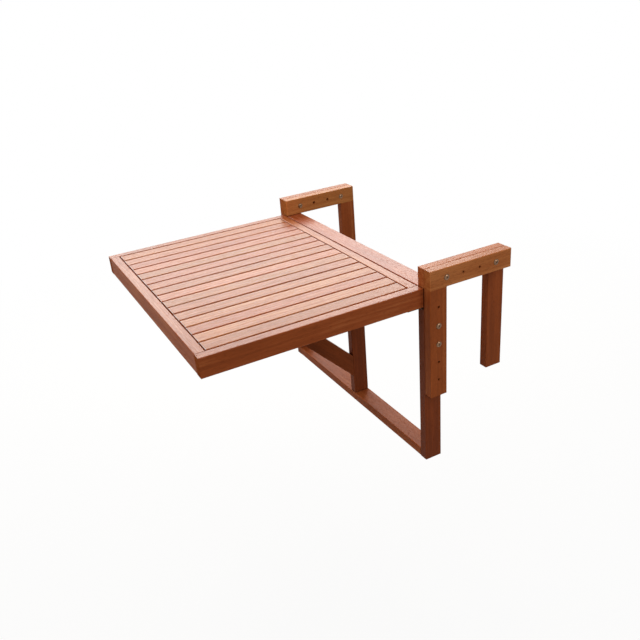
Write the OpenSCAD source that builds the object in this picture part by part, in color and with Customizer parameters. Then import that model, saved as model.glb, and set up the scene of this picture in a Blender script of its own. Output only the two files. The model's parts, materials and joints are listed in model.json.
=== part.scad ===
// Hardwood table that hangs from two adjustable hooks.
// The tabletop hinges on a leg frame, and a gate that swings in that frame holds it up.
//
// Frame: X runs across the table's width, Y from its front edge to the back, Z is up.
// The hooks form a channel open at the bottom, between the legs and the clamp legs. The
// origin is midway between the hooks, in the channel's upper front corner: it is level
// with the undersides of the bars and with the back faces of the legs.
// Left is -X and right is +X, seen from the front.

/* [Timber] */
// Width of the boards
board_w = 49; // [40:1:60]
// Thickness of the boards
board_t = 25; // [20:1:32]
// Radius of the eased long edges
edge_r = 2; // [1:0.5:4]
// Thickness of the slats
slat_t = 12; // [9:1:16]
// Thickness of the two flat battens that carry the slats' ends
batten_t = 20; // [14:1:22]
// Width of those battens
batten_w = 30; // [20:1:45]

/* [Tabletop] */
// Width of the tabletop
table_w = 750; // [600:10:900]
// Depth of the tabletop
table_d = 565; // [480:5:700]
// Number of slats
slat_count = 16; // [10:1:16]
// Gap between two slats
slat_gap = 3.5; // [2:0.5:8]
// Gap at each end of a slat
slat_end_gap = 3; // [1:0.5:8]

/* [Leg frame] */
// Height of the leg frame
frame_h = 500; // [450:10:600]
// Gap between the tabletop's back edge and the legs
back_gap = 2.5; // [2:0.5:5]

/* [Hooks] */
// Length of the hooks' bars
bar_len = 246; // [220:2:300]
// Length of the board below the outer bar
hook_len = 294; // [270:2:350]
// Length of the clamp leg below the inner bar
clamp_len = 284; // [120:2:330]
// Distance between two adjusting holes
hole_pitch = 50; // [40:1:52]
// Adjusting holes in a bar
bar_holes = 4; // [3:1:4]
// Adjusting holes in a hook's board
hook_holes = 5; // [4:1:5]
// Bore of the holes in the outer boards
outer_hole_d = 7; // [6.5:0.5:8]
// Bore of the holes in the inner boards, which also take the sleeve nuts
inner_hole_d = 9; // [8.5:0.5:10]

/* [Gate] */
// Radius of the post's edges
post_r = 3; // [2:0.5:6]
// Gap that the post's corners leave to the tabletop's back edge as the gate swings
swing_gap = 1.5; // [1:0.5:2]
// Space between the folded gate and a leg
gate_side_gap = 7; // [5:1:40]
// Height of the brace's lower edge above the post's foot, where the two meet
brace_rise = 57; // [20:1:90]
// Distance from the arm's front end to the brace's
brace_setback = 2; // [0:1:30]
// Thickness of the washers above and below the post
washer_t = 2; // [1:0.5:3]
// Diameter of those washers
washer_d = 22; // [16:1:25]

/* [Hardware] */
// Diameter of the hook bolts
bolt_d = 6; // [5:1:6]
// Diameter of the bolt heads and nut heads
head_d = 15; // [12:0.5:17]
// Height of the bolt heads
head_h = 2.8; // [2:0.1:4]
// Width across the flats of the hexagon sockets
socket_af = 5; // [4:0.5:6]
// Outer diameter of a nut's sleeve
sleeve_d = 8.4; // [7.5:0.1:8.4]
// Length of a nut's sleeve
sleeve_len = 12; // [8:1:15]
// Diameter of the steel pins that the gate turns on
pin_d = 8; // [6:0.5:10]
// Depth of a gate pin in the post
pin_depth = 30; // [20:1:40]
// Diameter of the wooden dowels in the joints
dowel_d = 8; // [6:1:9]
// Depth of a dowel in a board's face
dowel_face_depth = 12; // [9:1:14]
// Depth of a dowel in a board's end
dowel_end_depth = 24; // [16:1:30]

/* [Flap hinges] */
// Width of a flap hinge
hinge_w = 20; // [16:1:22]
// Length of a hinge leaf
leaf_len = 44; // [38:1:60]
// Thickness of a hinge leaf
leaf_t = 2; // [1.2:0.1:2.5]
// Outer radius of the hinge's knuckles
knuckle_r = 3.5; // [2.8:0.1:4]
// Diameter of the hinge's pin
hinge_pin_d = 3.4; // [2.5:0.1:3.6]
// Diameter of the hinge screws' shanks
screw_d = 3.4; // [2.8:0.1:3.8]
// Diameter of the hinge screws' heads
screw_head_d = 6.6; // [5.6:0.1:7]
// Length of the hinge screws
screw_len = 16; // [12:1:20]

/* [Hidden] */
$fn = 48;
// Radial play of a pin in its hole
pin_play = 0.05;
// Radial play of dowels, screws and bolts in their holes
fit_play = 0.1;
// Space between two pieces that pass each other
run_gap = 0.3;
// Free depth left past the end of a pin, dowel or screw
end_room = 1;
// Wall left behind a blind hole for a gate pin
blind_wall = 9;
// Wall left between a pin's hole and the end of a dowel
dowel_wall = 4;

half_w = table_w / 2;
inner_w = half_w - board_t;
hook_x = half_w + board_t;
table_back = -board_w - back_gap;
table_front = table_back - table_d;
field_back = table_back - board_t;
field_front = table_front + board_t;
table_mid = (table_back + table_front) / 2;
board_mid = -board_w / 2;
bar_back = bar_len - board_w;
bar_mid = bar_back - bar_len / 2;
clamp_front = bar_back - board_w;

// The slats and their two edge gaps fill the field, so the slats' width follows.
slat_w = (2 * inner_w - (slat_count + 1) * slat_gap) / slat_count;
slat_pitch = slat_w + slat_gap;
slat_len = field_back - field_front - 2 * slat_end_gap;

// Gate: turns about a vertical axis in the middle of the leg frame. The post is as wide
// as its corners' circle allows, which passes the tabletop's back edge.
swing_r = -table_back + board_mid - swing_gap;
post_w = 2 * post_r + 2 * sqrt(pow(swing_r - post_r, 2) - pow(board_t / 2 - post_r, 2));
post_top = -board_t - washer_t - run_gap;
post_foot = -frame_h + board_t + washer_t;
post_dowel_depth = (post_w - pin_d) / 2 - dowel_wall;
post_face = board_mid - post_w / 2;
arm_top = -board_w - run_gap;
arm_foot = arm_top - board_w;
arm_reach = inner_w - gate_side_gap;
arm_front = board_mid - arm_reach;
brace_low = post_foot + brace_rise;
brace_tip = arm_front + brace_setback;
brace_angle = atan2(arm_foot - brace_low, post_face - brace_tip);
rail_pin_depth = board_t - blind_wall;

// Hinges: the axis lies just under the tabletop. The frame leaves are let into the legs'
// fronts behind the tabletop's back end, so that only the knuckles show.
hinge_y = -board_w + leaf_t - knuckle_r - run_gap;
hinge_z = -board_w - knuckle_r - run_gap;
hinge_x = half_w - board_t / 2;
outer_knuckle = hinge_w * 0.28;
mid_knuckle = hinge_w - 2 * outer_knuckle - 2 * run_gap;
rivet_h = 0.8;
rivet_r = hinge_pin_d / 2 + 0.9;
screw_rows = 3;
screw_first = knuckle_r + run_gap + screw_head_d / 2 + 2;
screw_step = (leaf_len - screw_first - screw_head_d / 2 - 2) / (screw_rows - 1);
screw_stagger = hinge_w / 2 - screw_head_d / 2 - 2;

// Rows of holes, each centred on its board.
bar_hole_z = board_w / 2;
function bar_hole_y(i) = bar_mid + (i - (bar_holes - 1) / 2) * hole_pitch;
function hook_hole_z(i) = -hook_len / 2 - (i - (hook_holes - 1) / 2) * hole_pitch;
// Places of the bolts on one hook, as [y, z]: the bar's outermost holes, and the second
// and third holes of the hook's board, which set the table's height.
bolt_places = [
    [bar_hole_y(0), bar_hole_z],
    [bar_hole_y(bar_holes - 1), bar_hole_z],
    [board_mid, hook_hole_z(1)],
    [board_mid, hook_hole_z(2)]
];

slat_names = [for (i = [1 : slat_count]) str("slat_", i < 10 ? "0" : "", i)];

// Shared shapes

// Section of a planed board with eased edges
module board_section(w, t, r) {
    square([w - 2 * r, t], center = true);
    square([w, t - 2 * r], center = true);
    for (x = [-1, 1], y = [-1, 1])
        translate([x * (w / 2 - r), y * (t / 2 - r)])
            circle(r = r);
}

// Boards between two corners, with their long edges along X, Y or Z
module board_x(low, high, r = edge_r) {
    size = high - low;
    translate([low.x, low.y + size.y / 2, low.z + size.z / 2])
        rotate([90, 0, 90])
            linear_extrude(height = size.x)
                board_section(size.y, size.z, r);
}

module board_y(low, high, r = edge_r) {
    size = high - low;
    translate([low.x + size.x / 2, high.y, low.z + size.z / 2])
        rotate([90, 0, 0])
            linear_extrude(height = size.y)
                board_section(size.x, size.z, r);
}

module board_z(low, high, r = edge_r) {
    size = high - low;
    translate([low.x + size.x / 2, low.y + size.y / 2, low.z])
        linear_extrude(height = size.z)
            board_section(size.x, size.y, r);
}

// Rods from a point along +X, +Y or +Z
module rod_x(at, length, d) {
    translate(at)
        rotate([0, 90, 0])
            cylinder(d = d, h = length);
}

module rod_y(at, length, d) {
    translate(at)
        rotate([-90, 0, 0])
            cylinder(d = d, h = length);
}

module rod_z(at, length, d) {
    translate(at)
        cylinder(d = d, h = length);
}

module on_side(side) {
    mirror([side == "left" ? 1 : 0, 0, 0])
        children();
}

module on_both_sides() {
    for (side = ["left", "right"])
        on_side(side)
            children();
}

// Dowels and their holes: play widens and lengthens one into its hole

function dowel_size(play) = dowel_d + 2 * play;
function dowel_room(play) = play > 0 ? end_room : 0;

// A dowel along X between a board's end, on the low side, and a face at x
module dowel_into_side(x, y, z, play = 0) {
    rod_x([x - dowel_end_depth - dowel_room(play), y, z],
        dowel_end_depth + dowel_face_depth + 2 * dowel_room(play), dowel_size(play));
}

// A dowel along Z between a bar above z and a board's end below it
module dowel_under_bar(x, y, z, play = 0) {
    rod_z([x, y, z - dowel_end_depth - dowel_room(play)],
        dowel_end_depth + dowel_face_depth + 2 * dowel_room(play), dowel_size(play));
}

// The two quarter points across a board
quarter_offsets = [-board_w / 4, board_w / 4];

module top_rail_dowels(play = 0) {
    for (dy = quarter_offsets)
        dowel_into_side(inner_w, board_mid + dy, -board_t / 2, play);
}

module bottom_rail_dowels(play = 0) {
    for (dy = quarter_offsets)
        dowel_into_side(inner_w, board_mid + dy, -frame_h + board_t / 2, play);
}

module hook_corner_dowels(play = 0) {
    for (dy = quarter_offsets)
        dowel_under_bar(half_w + board_t / 2, board_mid + dy, 0, play);
}

module clamp_corner_dowels(play = 0) {
    for (dy = quarter_offsets)
        dowel_under_bar(inner_w + board_t / 2, clamp_front + board_w / 2 + dy, 0, play);
}

module table_corner_dowels(y, play = 0) {
    for (dz = quarter_offsets)
        dowel_into_side(inner_w, y, -board_w / 2 + dz, play);
}

batten_z = -slat_t - batten_t / 2;
middle_z = -(slat_t + board_w) / 2;
batten_front_y = field_front + batten_w / 2;
batten_back_y = field_back - batten_w / 2;

module batten_dowels(play = 0) {
    dowel_into_side(inner_w, batten_front_y, batten_z, play);
    dowel_into_side(inner_w, table_mid, middle_z, play);
    dowel_into_side(inner_w, batten_back_y, batten_z, play);
}

module all_table_dowels(play = 0) {
    table_corner_dowels(table_front + board_t / 2, play);
    table_corner_dowels(table_back - board_t / 2, play);
    batten_dowels(play);
}

// Leg frame

module hook_holes_through(x, length, d) {
    for (place = [bolt_places[2], bolt_places[3]])
        rod_x([x - end_room, place.x, place.y], length + 2 * end_room, d);
}

module leg() {
    difference() {
        board_z([inner_w, -board_w, -frame_h], [half_w, 0, 0]);
        hook_holes_through(inner_w, board_t, inner_hole_d);
        top_rail_dowels(fit_play);
        bottom_rail_dowels(fit_play);
        frame_leaf_recess();
        frame_leaf_screws(fit_play);
    }
}

module leg_left() color("#8a4a2a") on_side("left") leg();
module leg_right() color("#8a4a2a") on_side("right") leg();

// Pins stand in blind holes, so the rails show no holes from above or below.
module top_pin(play = 0) {
    low = -board_t - washer_t - run_gap - pin_depth;
    room = play > 0 ? end_room : 0;
    rod_z([0, board_mid, low - room],
        rail_pin_depth - board_t - low + 2 * room, pin_d + 2 * play);
}

module foot_pin(play = 0) {
    low = -frame_h + board_t - rail_pin_depth;
    room = play > 0 ? end_room : 0;
    rod_z([0, board_mid, low - room], post_foot + pin_depth - low + 2 * room, pin_d + 2 * play);
}

module top_rail() color("#a05a36") difference() {
    board_x([-inner_w, -board_w, -board_t], [inner_w, 0, 0]);
    on_both_sides() top_rail_dowels(fit_play);
    top_pin(pin_play);
}

module bottom_rail() color("#a05a36") difference() {
    board_x([-inner_w, -board_w, -frame_h], [inner_w, 0, -frame_h + board_t]);
    on_both_sides() bottom_rail_dowels(fit_play);
    foot_pin(pin_play);
}

module frame_dowels() color("#d8b483") on_both_sides() {
    top_rail_dowels();
    bottom_rail_dowels();
}

module gate_pins() color("silver") {
    top_pin();
    foot_pin();
}

module washer(z) {
    translate([0, board_mid, z])
        difference() {
            cylinder(d = washer_d, h = washer_t);
            translate([0, 0, -end_room])
                cylinder(d = pin_d + 4 * fit_play, h = washer_t + 2 * end_room);
        }
}

module gate_washers() color("silver") {
    washer(-board_t - washer_t);
    washer(-frame_h + board_t);
}

// Hooks: an outer bar on an outer board, bolted to an inner bar on a clamp leg

module hook_board() {
    difference() {
        board_z([half_w, -board_w, -hook_len], [hook_x, 0, 0]);
        for (i = [0 : hook_holes - 1])
            rod_x([half_w - end_room, board_mid, hook_hole_z(i)], board_t + 2 * end_room, outer_hole_d);
        hook_corner_dowels(fit_play);
    }
}

// A bar's ends are eased like its long edges. Its lower edges stay square over the
// upright glued under it, which runs back from upright_y.
module bar(x, hole_d, upright_y) {
    difference() {
        intersection() {
            union() {
                board_y([x, -board_w, 0], [x + board_t, bar_back, board_w]);
                translate([x, upright_y, 0])
                    cube([board_t, board_w, 2 * edge_r]);
            }
            board_z([x, -board_w, 0], [x + board_t, bar_back, board_w]);
        }
        for (i = [0 : bar_holes - 1])
            rod_x([x - end_room, bar_hole_y(i), bar_hole_z], board_t + 2 * end_room, hole_d);
    }
}

module hook_bar() {
    difference() {
        bar(half_w, outer_hole_d, -board_w);
        hook_corner_dowels(fit_play);
    }
}

module clamp_bar() {
    difference() {
        bar(inner_w, inner_hole_d, clamp_front);
        clamp_corner_dowels(fit_play);
    }
}

module clamp_leg() {
    difference() {
        board_z([inner_w, clamp_front, -clamp_len], [half_w, bar_back, 0]);
        clamp_corner_dowels(fit_play);
    }
}

module hook_board_left() color("#7c4226") on_side("left") hook_board();
module hook_board_right() color("#7c4226") on_side("right") hook_board();
module hook_bar_left() color("#8f5030") on_side("left") hook_bar();
module hook_bar_right() color("#8f5030") on_side("right") hook_bar();
module clamp_bar_left() color("#9a5a38") on_side("left") clamp_bar();
module clamp_bar_right() color("#9a5a38") on_side("right") clamp_bar();
module clamp_leg_left() color("#7c4226") on_side("left") clamp_leg();
module clamp_leg_right() color("#7c4226") on_side("right") clamp_leg();

module hook_dowels() color("#d8b483") on_both_sides() {
    hook_corner_dowels();
    clamp_corner_dowels();
}

// A domed head of height h on the plane x = 0, with a hexagon socket
module domed_head(h) {
    dome_r = (head_d * head_d / 4 + h * h) / (2 * h) + h;
    rotate([0, 90, 0])
        difference() {
            intersection() {
                cylinder(d = head_d, h = h);
                translate([0, 0, h - dome_r])
                    sphere(r = dome_r, $fn = 96);
            }
            translate([0, 0, h / 3])
                cylinder(d = socket_af / cos(30), h = h, $fn = 6);
        }
}

// A bolt's shank stops inside its sleeve nut, short of the nut's head.
nut_wall = 3;
shank_len = 2 * board_t - nut_wall;

module hook_bolt(place) {
    translate([hook_x, place.x, place.y])
        domed_head(head_h);
    rod_x([hook_x - shank_len, place.x, place.y], shank_len + head_h / 4, bolt_d);
}

module sleeve_nut(place) {
    translate([inner_w, place.x, place.y])
        mirror([1, 0, 0])
            domed_head(head_h * 0.8);
    difference() {
        rod_x([inner_w - head_h / 5, place.x, place.y], sleeve_len + head_h / 5, sleeve_d);
        rod_x([inner_w + nut_wall - end_room, place.x, place.y], sleeve_len, bolt_d + 2 * fit_play);
    }
}

module hook_bolts() color("silver") on_both_sides()
    for (place = bolt_places)
        hook_bolt(place);

module hook_nuts() color("silver") on_both_sides()
    for (place = bolt_places)
        sleeve_nut(place);

// Flap hinges: one leaf under the tabletop's side, the other let into the leg's front

// Knuckles along X about the hinge's axis, from x = from
module knuckle(from, length) {
    rod_x([hinge_x + from, hinge_y, hinge_z], length, 2 * knuckle_r);
}

module hinge_bore() {
    rod_x([hinge_x - hinge_w / 2 - end_room, hinge_y, hinge_z],
        hinge_w + 2 * end_room, hinge_pin_d + 2 * pin_play);
}

// Places of a leaf's screws, as [across, distance from the axis]
function leaf_screw(i) = [(i % 2 == 0 ? 1 : -1) * screw_stagger, screw_first + i * screw_step];

// A countersunk screw down -Z from its head's face at z = 0
module countersunk_screw(play = 0) {
    head_depth = leaf_t;
    tip = screw_d;
    shank = screw_len - head_depth - tip;
    rotate([180, 0, 0]) {
        cylinder(d1 = screw_head_d + 2 * play, d2 = screw_d + 2 * play, h = head_depth);
        cylinder(d = screw_d + 2 * play, h = head_depth + shank);
        translate([0, 0, head_depth + shank])
            cylinder(d1 = screw_d + 2 * play, d2 = play > 0 ? screw_d : 0.8, h = tip + (play > 0 ? end_room : 0));
    }
}

// Screws up through the leaf under the tabletop's side
module table_leaf_screws(play = 0) {
    for (i = [0 : screw_rows - 1]) {
        at = leaf_screw(i);
        translate([hinge_x + at.x, hinge_y - at.y, -board_w - leaf_t])
            rotate([180, 0, 0])
                countersunk_screw(play);
    }
}

// Screws back through the leaf in the leg's front
module frame_leaf_screws(play = 0) {
    for (i = [0 : screw_rows - 1]) {
        at = leaf_screw(i);
        translate([hinge_x + at.x, -board_w, hinge_z + at.y])
            rotate([90, 0, 0])
                countersunk_screw(play);
    }
}

// Room for the other leaf's knuckles
module knuckle_room(from, length) {
    translate([hinge_x + from - run_gap, hinge_y - knuckle_r - run_gap, hinge_z - knuckle_r - run_gap])
        cube([length + 2 * run_gap, 2 * knuckle_r + 3 * run_gap, 2 * knuckle_r + 3 * run_gap]);
}

module hinge_table_leaf() {
    difference() {
        union() {
            difference() {
                translate([hinge_x - hinge_w / 2, hinge_y - leaf_len, -board_w - leaf_t])
                    cube([hinge_w, leaf_len, leaf_t]);
                knuckle_room(-hinge_w / 2 - end_room, outer_knuckle + end_room);
                knuckle_room(hinge_w / 2 - outer_knuckle, outer_knuckle + end_room);
            }
            knuckle(-mid_knuckle / 2, mid_knuckle);
        }
        hinge_bore();
        table_leaf_screws(fit_play / 2);
    }
}

// The recess in a leg's front: as deep as the leaf, and wider below round the knuckles
module frame_leaf_recess() {
    low = hinge_z - knuckle_r - run_gap;
    room_w = hinge_w + 2 * (rivet_h + run_gap);
    translate([hinge_x - hinge_w / 2, -board_w - end_room, low])
        cube([hinge_w, leaf_t + end_room, hinge_z + leaf_len - low]);
    translate([hinge_x - room_w / 2, -board_w - end_room, low])
        cube([room_w, leaf_t + end_room, 2 * (knuckle_r + run_gap)]);
}

module hinge_frame_leaf() {
    difference() {
        union() {
            difference() {
                translate([hinge_x - hinge_w / 2, -board_w, hinge_z])
                    cube([hinge_w, leaf_t, leaf_len]);
                knuckle_room(-mid_knuckle / 2, mid_knuckle);
            }
            knuckle(-hinge_w / 2, outer_knuckle);
            knuckle(hinge_w / 2 - outer_knuckle, outer_knuckle);
        }
        hinge_bore();
        frame_leaf_screws(fit_play / 2);
    }
}

module hinge_pin() {
    rod_x([hinge_x - hinge_w / 2 - rivet_h, hinge_y, hinge_z], hinge_w + 2 * rivet_h, hinge_pin_d);
    for (x = [-hinge_w / 2 - rivet_h, hinge_w / 2])
        rod_x([hinge_x + x, hinge_y, hinge_z], rivet_h, 2 * rivet_r);
}

module hinge_frame_leaf_left() color("slategray") on_side("left") hinge_frame_leaf();
module hinge_frame_leaf_right() color("slategray") on_side("right") hinge_frame_leaf();
module hinge_table_leaf_left() color("slategray") on_side("left") hinge_table_leaf();
module hinge_table_leaf_right() color("slategray") on_side("right") hinge_table_leaf();
module hinge_pin_left() color("silver") on_side("left") hinge_pin();
module hinge_pin_right() color("silver") on_side("right") hinge_pin();
module hinge_frame_screws() color("silver") on_both_sides() frame_leaf_screws();
module hinge_table_screws() color("silver") on_both_sides() table_leaf_screws();

// Gate: a post with an arm under the tabletop and a brace between them

// The middles of the brace's two slanting ends
brace_dowel_z = brace_low + board_w / cos(brace_angle) / 2;
brace_dowel_y = brace_tip + board_w / sin(brace_angle) / 2;

// Dowels along Y between the post's face and a piece's end in front of it
module dowel_into_post(z, play = 0) {
    rod_y([0, post_face - dowel_end_depth - dowel_room(play), z],
        dowel_end_depth + post_dowel_depth + 2 * dowel_room(play), dowel_size(play));
}

module gate_joint_dowels(play = 0) {
    for (dz = quarter_offsets)
        dowel_into_post(arm_top - board_w / 2 + dz, play);
    dowel_into_post(brace_dowel_z, play);
    dowel_under_bar(0, brace_dowel_y, arm_foot, play);
}

module gate_post() color("#6e3a22") difference() {
    board_z([-board_t / 2, post_face, post_foot], [board_t / 2, post_face + post_w, post_top], post_r);
    top_pin(pin_play);
    foot_pin(pin_play);
    gate_joint_dowels(fit_play);
}

module gate_arm() color("#7c4226") difference() {
    board_y([-board_t / 2, arm_front, arm_foot], [board_t / 2, post_face, arm_top]);
    gate_joint_dowels(fit_play);
}

// The brace is a board on a slant, cut off at the post's face and under the arm.
module gate_brace() color("#6e3a22") difference() {
    intersection() {
        translate([0, post_face, brace_low])
            rotate([-brace_angle, 0, 0])
                board_y([-board_t / 2, -2 * arm_reach, 0], [board_t / 2, board_w, board_w]);
        translate([-board_t, arm_front, post_foot])
            cube([2 * board_t, post_face - arm_front, arm_foot - post_foot]);
    }
    gate_joint_dowels(fit_play);
}

module gate_dowels() color("#d8b483") gate_joint_dowels();

// Tabletop: a frame of boards on edge, filled with slats on battens

module table_side() {
    difference() {
        board_y([inner_w, table_front, -board_w], [half_w, table_back, 0]);
        all_table_dowels(fit_play);
        table_leaf_screws(fit_play);
    }
}

module table_end(low_y) {
    difference() {
        board_x([-inner_w, low_y, -board_w], [inner_w, low_y + board_t, 0]);
        on_both_sides() all_table_dowels(fit_play);
    }
}

module batten(low_y, width, low_z) {
    difference() {
        board_x([-inner_w, low_y, low_z], [inner_w, low_y + width, -slat_t], min(edge_r, 1.5));
        on_both_sides() batten_dowels(fit_play);
    }
}

module table_side_left() color("#a8603a") on_side("left") table_side();
module table_side_right() color("#a8603a") on_side("right") table_side();
module table_end_front() color("#a8603a") table_end(table_front);
module table_end_back() color("#a8603a") table_end(table_back - board_t);
module batten_front() color("#8f5030") batten(field_front, batten_w, -slat_t - batten_t);
module batten_back() color("#8f5030") batten(field_back - batten_w, batten_w, -slat_t - batten_t);
module batten_middle() color("#8f5030") batten(table_mid - board_t / 2, board_t, -board_w);
module table_dowels() color("#d8b483") on_both_sides() all_table_dowels();

module slat(i) color("#c8805c") {
    x = -inner_w + slat_gap + i * slat_pitch;
    y = field_front + slat_end_gap;
    board_y([x, y, -slat_t], [x + slat_w, y + slat_len, 0]);
}

leg_left();
leg_right();
top_rail();
bottom_rail();
hook_board_left();
hook_board_right();
hook_bar_left();
hook_bar_right();
clamp_bar_left();
clamp_bar_right();
clamp_leg_left();
clamp_leg_right();
hook_bolts();
hook_nuts();
frame_dowels();
hook_dowels();
gate_pins();
gate_washers();
hinge_frame_leaf_left();
hinge_frame_leaf_right();
hinge_pin_left();
hinge_pin_right();
hinge_frame_screws();
gate_post();
gate_arm();
gate_brace();
gate_dowels();
table_side_left();
table_side_right();
table_end_front();
table_end_back();
batten_front();
batten_middle();
batten_back();
table_dowels();
hinge_table_leaf_left();
hinge_table_leaf_right();
hinge_table_screws();
for (i = [0 : slat_count - 1])
    slat(i);
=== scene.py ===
# Balcony table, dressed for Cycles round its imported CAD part. Metres, +Z up.
import bmesh
import bpy
import json
import math
import random
from mathutils import Matrix, Vector

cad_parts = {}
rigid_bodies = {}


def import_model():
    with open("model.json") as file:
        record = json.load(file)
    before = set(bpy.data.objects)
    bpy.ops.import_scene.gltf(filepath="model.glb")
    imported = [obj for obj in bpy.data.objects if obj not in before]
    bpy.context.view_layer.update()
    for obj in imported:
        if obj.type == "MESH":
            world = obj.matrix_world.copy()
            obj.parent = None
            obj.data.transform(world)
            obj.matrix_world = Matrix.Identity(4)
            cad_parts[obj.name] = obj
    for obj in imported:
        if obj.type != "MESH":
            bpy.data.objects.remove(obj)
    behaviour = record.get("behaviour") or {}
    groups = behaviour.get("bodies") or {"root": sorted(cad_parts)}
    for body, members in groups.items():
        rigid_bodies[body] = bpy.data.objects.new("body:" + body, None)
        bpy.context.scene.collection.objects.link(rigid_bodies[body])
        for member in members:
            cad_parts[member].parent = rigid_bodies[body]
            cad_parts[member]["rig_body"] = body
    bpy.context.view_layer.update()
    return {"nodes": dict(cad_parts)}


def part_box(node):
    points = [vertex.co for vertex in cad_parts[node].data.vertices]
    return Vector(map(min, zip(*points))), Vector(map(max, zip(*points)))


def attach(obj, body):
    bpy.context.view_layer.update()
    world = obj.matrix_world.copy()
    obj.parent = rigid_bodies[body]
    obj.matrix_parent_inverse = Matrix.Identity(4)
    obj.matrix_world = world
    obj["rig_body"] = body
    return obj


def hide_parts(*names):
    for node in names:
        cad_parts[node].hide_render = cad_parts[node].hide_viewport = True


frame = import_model()
cadNodes = frame["nodes"]
scene = bpy.context.scene
mm = 0.001
weldWithin = 0.001 * mm
noiseMiddle = 0.5      # what a noise texture varies round
print("frame loaded:", len(cadNodes), "CAD nodes")


def linear(hexColour):
    # an sRGB hex colour as the linear values that shaders take
    out = []
    for i in (0, 2, 4):
        c = int(hexColour[i:i + 2], 16) / 255
        out.append(c / 12.92 if c <= 0.04045 else ((c + 0.055) / 1.055) ** 2.4)
    return (*out, 1.0)


def addNode(tree, kind, settings=None, inputs=None):
    # one node with its settings; an input is a value, a socket, or a node whose first live output is meant
    made = tree.nodes.new(kind)
    for key, value in (settings or {}).items():
        setattr(made, key, value)
    for key, value in (inputs or {}).items():
        if isinstance(value, bpy.types.Node):
            value = next(s for s in value.outputs if s.enabled)
        if isinstance(value, bpy.types.NodeSocket):
            tree.links.new(value, made.inputs[key])
        else:
            made.inputs[key].default_value = value
    return made


def newMaterial(name):
    made = bpy.data.materials.new(name)
    made.use_nodes = True
    made.node_tree.nodes.clear()
    return made, made.node_tree


def newObject(name, mesh):
    made = bpy.data.objects.new(name, mesh)
    scene.collection.objects.link(made)
    return made


def setModifierInputs(modifier, values):
    # Geometry Nodes inputs are set by the socket's identifier
    sockets = {s.name: s.identifier for s in modifier.node_group.interface.items_tree
               if s.item_type == "SOCKET" and s.in_out == "INPUT"}
    for name, value in values.items():
        modifier[sockets[name]] = value


def freeze(obj):
    # turns the evaluated result into a plain mesh and drops the modifiers
    graph = bpy.context.evaluated_depsgraph_get()
    mesh = bpy.data.meshes.new_from_object(
        obj.evaluated_get(graph), preserve_all_data_layers=True, depsgraph=graph)
    obj.modifiers.clear()
    obj.data = mesh
    mesh.name = obj.name


def merged(nodeName):
    # a bmesh copy of a CAD node, whose mesh is loose triangles
    bm = bmesh.new()
    bm.from_mesh(cadNodes[nodeName].data)
    bmesh.ops.remove_doubles(bm, verts=bm.verts, dist=weldWithin)
    return bm


def solidsOf(nodeName):
    # the box of each solid in a CAD node
    bm = merged(nodeName)
    left, boxes = set(bm.verts), []
    while left:
        todo, seen = [left.pop()], []
        while todo:
            v = todo.pop()
            seen.append(v.co.copy())
            for e in v.link_edges:
                w = e.other_vert(v)
                if w in left:
                    left.remove(w)
                    todo.append(w)
        boxes.append((Vector(map(min, *seen)), Vector(map(max, *seen))))
    bm.free()
    return sorted(boxes, key=lambda b: tuple(round(c / mm, 1) for c in b[0]))


def middle(box):
    return (box[0] + box[1]) / 2


# Oiled eucalyptus, planed: reddish brown, with fine streaks along the grain, short dark pores, slow ribbon
# bands and an oil film: satin and pale at a low angle on the upper faces, which hands and cloths polish, and
# duller on the sides. Lengths in mm. The pores are really 0.2 mm wide and are drawn coarser so that they show.
timberLook = {
    "deep": "7C3C1C", "body": "A85428", "glow": "D4824C", "pore": "5A2812",
    "wanderSize": (260, 42, 42), "wanderNoise": {"Detail": 2.0}, "wanderBy": 7.0,
    "bandWidth": 5.5, "bandNoise": {"Detail": 1.5}, "bandShare": 0.24,
    "streakSize": (70, 1.5, 1.5), "streakNoise": {"Detail": 3.0, "Roughness": 0.6}, "streakShare": 0.38,
    "ribbonSize": (230, 13, 13), "ribbonNoise": {"Detail": 1.0}, "ribbonShare": 0.5,
    "blotchSize": (140, 70, 70), "blotchNoise": {"Detail": 2.0}, "blotchShare": 0.4,
    "poreSize": (12, 0.8, 0.8), "poreNoise": {"Detail": 0.0},
    "poreFrom": 0.63, "poreTo": 0.74, "poreDepth": 0.4,
    "toneShare": 0.22, "hueTurn": 0.008, "endShade": 0.04, "arrisLight": 0.16,
    "upperRoughness": 0.27, "sideRoughness": 0.55,
    "roughnessPlay": 0.10, "poreRoughness": 0.2, "endRoughness": 0.14,
    "upperSpecular": 0.25, "sideSpecular": 0.10,
    "relief": 0.10, "reliefStrength": 0.6, "streakRelief": 0.6, "poreRelief": 0.7,
    # the nook settings paint shade: ambient occlusion darkens the colour within nookReach of a neighbour
    "nookReach": 3.5, "nookSamples": 8, "nookShade": 1.0,
}
# The tabletop's slats: the same wood, painted a little paler as painted sheen of their tops, which face the sky
slatLookWithPaintedSheen = dict(timberLook, deep="8A421B", body="B3602F", glow="D98B54", toneShare=0.14, hueTurn=0.006,
                endShade=-0.5, upperSpecular=0.23, nookShade=0.1)


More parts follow.
